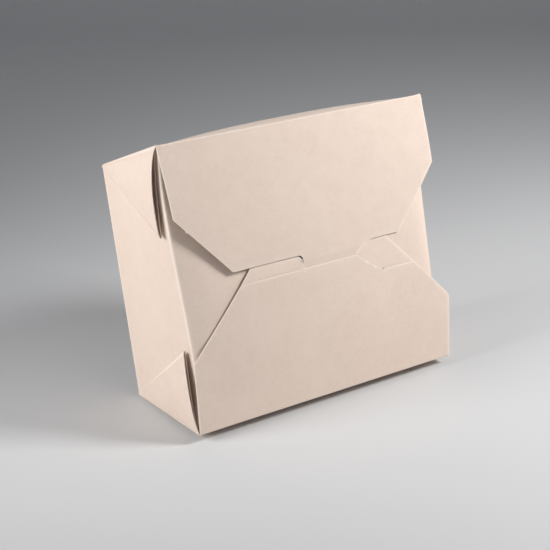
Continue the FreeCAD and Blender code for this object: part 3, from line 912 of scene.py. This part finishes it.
def lower_flap():
    """Outline from the left root corner round by the right tab, slanting cut and left tab.

    The slanting cut is a narrow slit from start to notch and back. Around the notch the board
    is a little torn, at steps along the cut and aside from it.
    """
    root = -HALF_HEIGHT + CREASE_LAP
    wing = -HALF_HEIGHT + WING
    centre_left = CENTRE_LEFT - HALF_LENGTH
    centre_right = CENTRE_RIGHT - HALF_LENGTH
    left_tip = LEFT_TAB_TIP - HALF_LENGTH
    right_tip = HALF_LENGTH - RIGHT_TAB_TIP
    shoulder = tongue_shoulder()
    notch = np.array([centre_right + CUT_RUN, -RIGHT_TAB_SHORT])
    under_scoop = arc_points((shoulder, UPPER_SHORT - TONGUE_ARC), TONGUE_ARC - SCOOP_GAP, 90, 139, 9)
    tab_corner = arc_points((centre_left - TAB_FILLET, TAB_PAST - TAB_FILLET), TAB_FILLET, 0, 90, 6)
    start = np.array([centre_right, -LOWER_SHORT])
    along_cut = (notch - start) / np.linalg.norm(notch - start)
    aside = np.array([-along_cut[1], along_cut[0]])
    torn = [(-0.5, SLIT), (0, 0.6), (0.2, 0.1), (0.9, 0.2), (0.3, -0.2), (0.1, -0.7), (-0.4, 0)]
    torn = notch + np.array(torn) @ np.array([along_cut, aside])
    outline = np.concatenate([
        [(-HALF_LENGTH, root), (HALF_LENGTH, root)],
        [(HALF_LENGTH + LOWER_WING_OUT, wing - LOWER_WING_SHORT)],
        [(right_tip + TAB_CHAMFER, TAB_PAST - TAB_CHAMFER), (right_tip - TAB_CHAMFER, TAB_PAST)],
        [(shoulder - 1.5, TAB_PAST)],
        under_scoop[1:],
        [start + 0.3 * along_cut + SLIT * aside],
        torn,
        [start + 0.25 * along_cut, start - (0.4, 0)],
        [(centre_left + 0.5, -LOWER_SHORT), (centre_left + 0.15, -LOWER_SHORT - 0.1)],
        [(centre_left + 0.06, -LOWER_SHORT - 0.5), (centre_left, -LOWER_SHORT)],
        tab_corner,
        [(left_tip + TAB_CHAMFER, TAB_PAST), (left_tip - TAB_CHAMFER, TAB_PAST - TAB_CHAMFER)],
        [(-HALF_LENGTH + LOWER_WING_IN, wing)],
    ])
    creases = [-LOWER_SHORT, -RIGHT_TAB_SHORT]
    return board_cut(
        "lower_lid_flap_board", outline, lower_flap_height, creases, "lower_flap", lower_flap_score_highlight
    )


def crease(name, upper):
    """The scored fold between a long wall and its lid flap: a quarter circle along the mouth."""
    side = 1 if upper else -1
    turn = round_corner(
        (side * HALF_HEIGHT, -2 * FOLD_RADIUS), (side * HALF_HEIGHT, 0.0),
        (side * (HALF_HEIGHT - 2 * FOLD_RADIUS), arch(HALF_HEIGHT - 2 * FOLD_RADIUS)), FOLD_RADIUS, 9,
    )
    along = np.linspace(-1, 1, LONG_COLUMNS)
    half = HALF_LENGTH - FOLD_RADIUS * 0.5
    flare = MOUTH_FLARE if upper else 0.0
    x = along[:, None] * half + flare * (1 + along[:, None]) / 2 + 0 * turn[None, :, 0]
    points = stacked(x, turn[None, :, 0], turn[None, :, 1])
    # the whole crease strip is painted paler: a painted highlight on the rounded fold
    strip = board_grid(name, points, None, flip=upper, border=np.full(points.shape[:2], FOLD_HIGHLIGHT))
    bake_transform(strip)
    return strip


def build_carton():
    """All pieces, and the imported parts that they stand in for."""
    body = [long_walls_and_base()]
    for left, end in ((True, "left"), (False, "right")):
        body.append(end_wall(end + "_end_wall", left))
        body.append(web_corner(end + "_upper_web", True, left))
        body.append(web_corner(end + "_lower_web", False, left))
    body.append(crease("upper_lid_crease", True))
    body.append(crease("lower_lid_crease", False))
    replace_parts(body[0], "carton_body")
    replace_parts(upper_flap(), "upper_lid_flap")
    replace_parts(lower_flap(), "lower_lid_flap")


# Stage

def plain_material(name, colour, roughness):
    """One colour without a pattern."""
    made = bpy.data.materials.new(name)
    made.use_nodes = True
    surface = made.node_tree.nodes["Principled BSDF"]
    surface.inputs["Base Color"].default_value = (*colour, 1.0)
    surface.inputs["Roughness"].default_value = roughness
    return made


def studio_sweep():
    """Floor and backdrop as one sheet: level, then a quarter circle up behind the carton."""
    bend = np.radians(np.linspace(0, 90, 24))
    back = SWEEP_BEHIND + SWEEP_RADIUS * np.sin(bend)
    y = np.concatenate([[-SWEEP_FRONT], back, [SWEEP_BEHIND + SWEEP_RADIUS]])
    z = np.concatenate([[0.0], SWEEP_RADIUS * (1 - np.cos(bend)), [SWEEP_TOP]])
    x = np.array([-SWEEP_HALF_WIDTH, SWEEP_HALF_WIDTH])
    points = stacked(x[:, None], y[None, :], z[None, :])
    rows, columns = points.shape[:2]
    index = np.arange(rows * columns).reshape(rows, columns)
    faces = np.stack([index[:-1, :-1], index[1:, :-1], index[1:, 1:], index[:-1, 1:]], axis=-1)
    mesh = bpy.data.meshes.new("studio sweep")
    mesh.from_pydata(points.reshape(-1, 3).tolist(), [], faces.reshape(-1, 4).tolist())
    mesh.materials.append(plain_material("pale paper sweep", (0.62, 0.62, 0.62), 0.7))
    mesh.shade_smooth()
    sweep = bpy.data.objects.new("studio_sweep", mesh)
    bpy.context.scene.collection.objects.link(sweep)
    mesh.transform(Matrix.Rotation(math.radians(AZIMUTH), 4, "Z"))


def towards(azimuth, elevation):
    """Unit vector from the carton to a viewer; azimuth 0 is in front and 90 on the right."""
    a, e = math.radians(azimuth), math.radians(elevation)
    return Vector((math.sin(a) * math.cos(e), -math.cos(a) * math.cos(e), math.sin(e)))


def soft_light(name, azimuth, elevation, distance, size, power, spread=180):
    """A square soft light aimed at the carton's middle, placed by bearing and height angle."""
    data = bpy.data.lights.new(name, "AREA")
    data.size = size
    data.energy = power
    data.spread = math.radians(spread)
    light = bpy.data.objects.new(name, data)
    bpy.context.scene.collection.objects.link(light)
    away = towards(azimuth, elevation)
    light.location = Vector((0, 0, AIM_HEIGHT)) + away * distance
    light.rotation_euler = away.to_track_quat("Z", "Y").to_euler()


def studio():
    """A dim cool world, two soft lights and the sweep."""
    scene = bpy.context.scene
    scene.view_settings.view_transform = "Standard"
    world = bpy.data.worlds.new("studio")
    world.use_nodes = True
    background = world.node_tree.nodes["Background"]
    background.inputs["Color"].default_value = (0.9, 0.93, 1.0, 1.0)
    background.inputs["Strength"].default_value = 0.21
    scene.world = world
    soft_light("front light", azimuth=50, elevation=36, distance=0.66, size=0.2, power=4.05)
    soft_light("left light", azimuth=-97, elevation=23, distance=0.53, size=0.24, power=0.515, spread=84)
    studio_sweep()


def camera():
    """The photograph's view, with its small roll."""
    back = towards(AZIMUTH, ELEVATION)
    data = bpy.data.cameras.new("photo view")
    data.lens = LENS
    data.sensor_width = SENSOR
    data.clip_start = 0.05
    made = bpy.data.objects.new("photo view", data)
    bpy.context.scene.collection.objects.link(made)
    made.location = Vector(LOOK_AT) + back * DISTANCE
    aim = back.to_track_quat("Z", "Y").to_matrix().to_4x4()
    tilt = Matrix.Rotation(math.radians(ROLL), 4, "Z")
    made.rotation_euler = (aim @ tilt).to_euler()
    bpy.context.scene.camera = made


build_carton()
studio()
camera()
